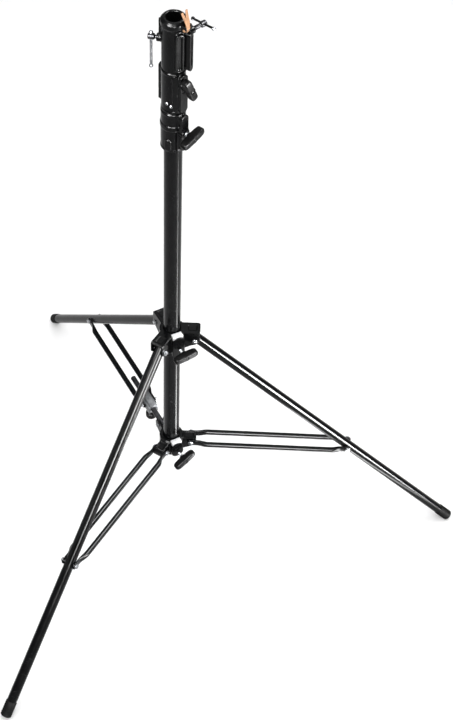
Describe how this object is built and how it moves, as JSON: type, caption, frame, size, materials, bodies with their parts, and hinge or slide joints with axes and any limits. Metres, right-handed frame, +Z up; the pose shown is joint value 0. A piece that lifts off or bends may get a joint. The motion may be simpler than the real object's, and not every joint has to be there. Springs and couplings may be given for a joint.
{
  "type": "lighting stand",
  "caption": "Black steel telescopic lighting stand with a braced tripod base, one leveling leg and a spigot socket with clamp screws and a safety catch.",
  "frame": {"origin": "centre of the stand's footprint on the floor (bounding box centre in X and Y); the column's axis stands 162 mm from it towards -X", "axes": "+Z up along the column; +X along leg 2, seen from the column"},
  "size_m": [1.0021, 1.1532, 1.474],
  "materials": {
    "black_paint": "gloss black coating",
    "black_plastic": "satin moulded",
    "black_rubber": "matt",
    "zinc_steel": "zinc plated",
    "chrome": "bright plated",
    "copper_plate": "copper plated"
  },
  "bodies": {
    "column": {"column_tube": "black_paint", "column_plug": "black_plastic", "column_collar": "black_paint", "column_bush": "black_plastic", "lower_hub": "black_paint", "brace_1_pin": "zinc_steel", "brace_2_pin": "zinc_steel", "rod_pin": "zinc_steel"},
    "upper_hub": {"upper_hub": "black_paint", "leg_1_pin": "zinc_steel", "leg_2_pin": "zinc_steel", "leg_3_pin": "zinc_steel"},
    "riser_1": {"riser_1_tube": "black_paint", "riser_1_foot": "black_plastic", "riser_1_collar": "black_paint", "riser_1_bush": "black_plastic"},
    "riser_2": {"riser_2_tube": "black_paint", "riser_2_foot": "black_plastic", "head_casting": "black_paint", "catch_pin": "zinc_steel"},
    "catch": {"safety_catch": "copper_plate"},
    "leg_1": {"leg_1": "black_paint", "leg_1_sleeve": "zinc_steel", "foot_1": "black_rubber"},
    "braces_1": {"brace_1_left": "black_paint", "brace_1_right": "black_paint", "brace_1_bolt_left": "zinc_steel", "brace_1_bolt_right": "zinc_steel"},
    "leg_2": {"leg_2": "black_paint", "leg_2_sleeve": "zinc_steel", "foot_2": "black_rubber"},
    "braces_2": {"brace_2_left": "black_paint", "brace_2_right": "black_paint", "brace_2_bolt_left": "zinc_steel", "brace_2_bolt_right": "zinc_steel"},
    "leg_3": {"leg_3": "black_paint", "leg_3_sleeve": "zinc_steel", "foot_3": "black_rubber"},
    "braces_3": {"brace_3_left": "black_paint", "brace_3_right": "black_paint", "brace_3_bolt_left": "zinc_steel", "brace_3_bolt_right": "zinc_steel", "leveling_rod": "zinc_steel", "leveling_clamp": "chrome", "clamp_bolt_left": "zinc_steel", "clamp_bolt_right": "zinc_steel"},
    "column_knob": {"column_knob": "black_plastic", "column_knob_stud": "zinc_steel"},
    "riser_knob": {"riser_knob": "black_plastic", "riser_knob_stud": "zinc_steel"},
    "upper_hub_knob": {"upper_hub_knob": "black_plastic", "upper_hub_knob_stud": "zinc_steel"},
    "lower_hub_knob": {"lower_hub_knob": "black_plastic", "lower_hub_knob_stud": "zinc_steel"},
    "leveling_knob": {"leveling_knob": "black_plastic", "leveling_knob_stud": "zinc_steel"},
    "head_screw": {"head_screw": "zinc_steel"},
    "head_bar": {"head_tommy_bar": "zinc_steel"},
    "side_screw": {"side_screw": "zinc_steel"},
    "side_bar": {"side_tommy_bar": "zinc_steel"}
  },
  "joints": [
    {"name": "base_fold", "type": "slide", "parent": "column", "child": "upper_hub", "axis": [0, 0, 1], "range_m": [0, 0.494]},
    {"name": "leg_1_fold", "type": "hinge", "parent": "upper_hub", "child": "leg_1", "pos_m": [-0.18634, -0.04166, 0.62], "axis": [0.866, -0.5, 0], "range_deg": [0, 40.97]},
    {"name": "brace_1_fold", "type": "hinge", "parent": "column", "child": "braces_1", "pos_m": [-0.18417, -0.03789, 0.2705], "axis": [-0.866, 0.5, 0], "range_deg": [0, 84.37]},
    {"name": "leg_2_fold", "type": "hinge", "parent": "upper_hub", "child": "leg_2", "pos_m": [-0.11419, 0, 0.62], "axis": [0, 1, 0], "range_deg": [0, 40.97]},
    {"name": "brace_2_fold", "type": "hinge", "parent": "column", "child": "braces_2", "pos_m": [-0.11854, 0, 0.2705], "axis": [0, -1, 0], "range_deg": [0, 84.37]},
    {"name": "leg_3_fold", "type": "hinge", "parent": "upper_hub", "child": "leg_3", "pos_m": [-0.18634, 0.04166, 0.62], "axis": [-0.866, -0.5, 0], "range_deg": [0, 40.97]},
    {"name": "brace_3_fold", "type": "hinge", "parent": "column", "child": "braces_3", "pos_m": [-0.18417, 0.03789, 0.2705], "axis": [0.866, 0.5, 0], "range_deg": [0, 84.37]},
    {"name": "riser_1_slide", "type": "slide", "parent": "column", "child": "riser_1", "axis": [0, 0, 1], "range_m": [0, 0.8]},
    {"name": "riser_2_slide", "type": "slide", "parent": "riser_1", "child": "riser_2", "axis": [0, 0, 1], "range_m": [0, 0.8]},
    {"name": "column_knob_turn", "type": "hinge", "parent": "column", "child": "column_knob", "pos_m": [-0.13395, -0.02378, 1.203], "axis": [0.766, -0.6428, 0], "range_deg": [0, 270]},
    {"name": "riser_knob_turn", "type": "hinge", "parent": "riser_1", "child": "riser_knob", "pos_m": [-0.13967, -0.02263, 1.316], "axis": [0.7071, -0.7071, 0], "range_deg": [0, 270]},
    {"name": "upper_hub_knob_turn", "type": "hinge", "parent": "upper_hub", "child": "upper_hub_knob", "pos_m": [-0.13706, -0.03604, 0.606], "axis": [0.5736, -0.8192, 0], "range_deg": [0, 270]},
    {"name": "lower_hub_knob_turn", "type": "hinge", "parent": "column", "child": "lower_hub_knob", "pos_m": [-0.13591, -0.03768, 0.248], "axis": [0.5736, -0.8192, 0], "range_deg": [0, 270]},
    {"name": "leveling_knob_turn", "type": "hinge", "parent": "braces_3", "child": "leveling_knob", "pos_m": [-0.21217, 0.08639, 0.27019], "axis": [0.0028, -0.0049, -1], "range_deg": [0, 270]},
    {"name": "head_screw_turn", "type": "hinge", "parent": "riser_2", "child": "head_screw", "pos_m": [-0.11288, 0.0445, 1.404], "axis": [0.7431, 0.6691, 0], "range_deg": [0, 360]},
    {"name": "head_bar_slide", "type": "slide", "parent": "head_screw", "child": "head_bar", "axis": [-0.652, 0.7241, -0.225], "range_m": [-0.0205, 0.0205]},
    {"name": "side_screw_turn", "type": "hinge", "parent": "riser_2", "child": "side_screw", "pos_m": [-0.20191, 0.00557, 1.404], "axis": [-0.9903, 0.1392, 0], "range_deg": [0, 360]},
    {"name": "side_bar_slide", "type": "slide", "parent": "side_screw", "child": "side_bar", "axis": [0, 0, 1], "range_m": [0, 0.0564]},
    {"name": "catch_turn", "type": "hinge", "parent": "riser_2", "child": "catch", "pos_m": [-0.13867, -0.01594, 1.441], "axis": [0.5592, 0.829, 0], "range_deg": [0, 30], "stiffness_Nm_per_rad": 0.02, "springref_deg": -28.65}
  ],
  "couplings": [
    {"joint": "leg_1_fold", "follows": "base_fold", "rad_per_m": 1.447},
    {"joint": "brace_1_fold", "follows": "base_fold", "rad_per_m": 2.9806},
    {"joint": "leg_2_fold", "follows": "base_fold", "rad_per_m": 1.447},
    {"joint": "brace_2_fold", "follows": "base_fold", "rad_per_m": 2.9806},
    {"joint": "leg_3_fold", "follows": "base_fold", "rad_per_m": 1.447},
    {"joint": "brace_3_fold", "follows": "base_fold", "rad_per_m": 2.9806}
  ]
}
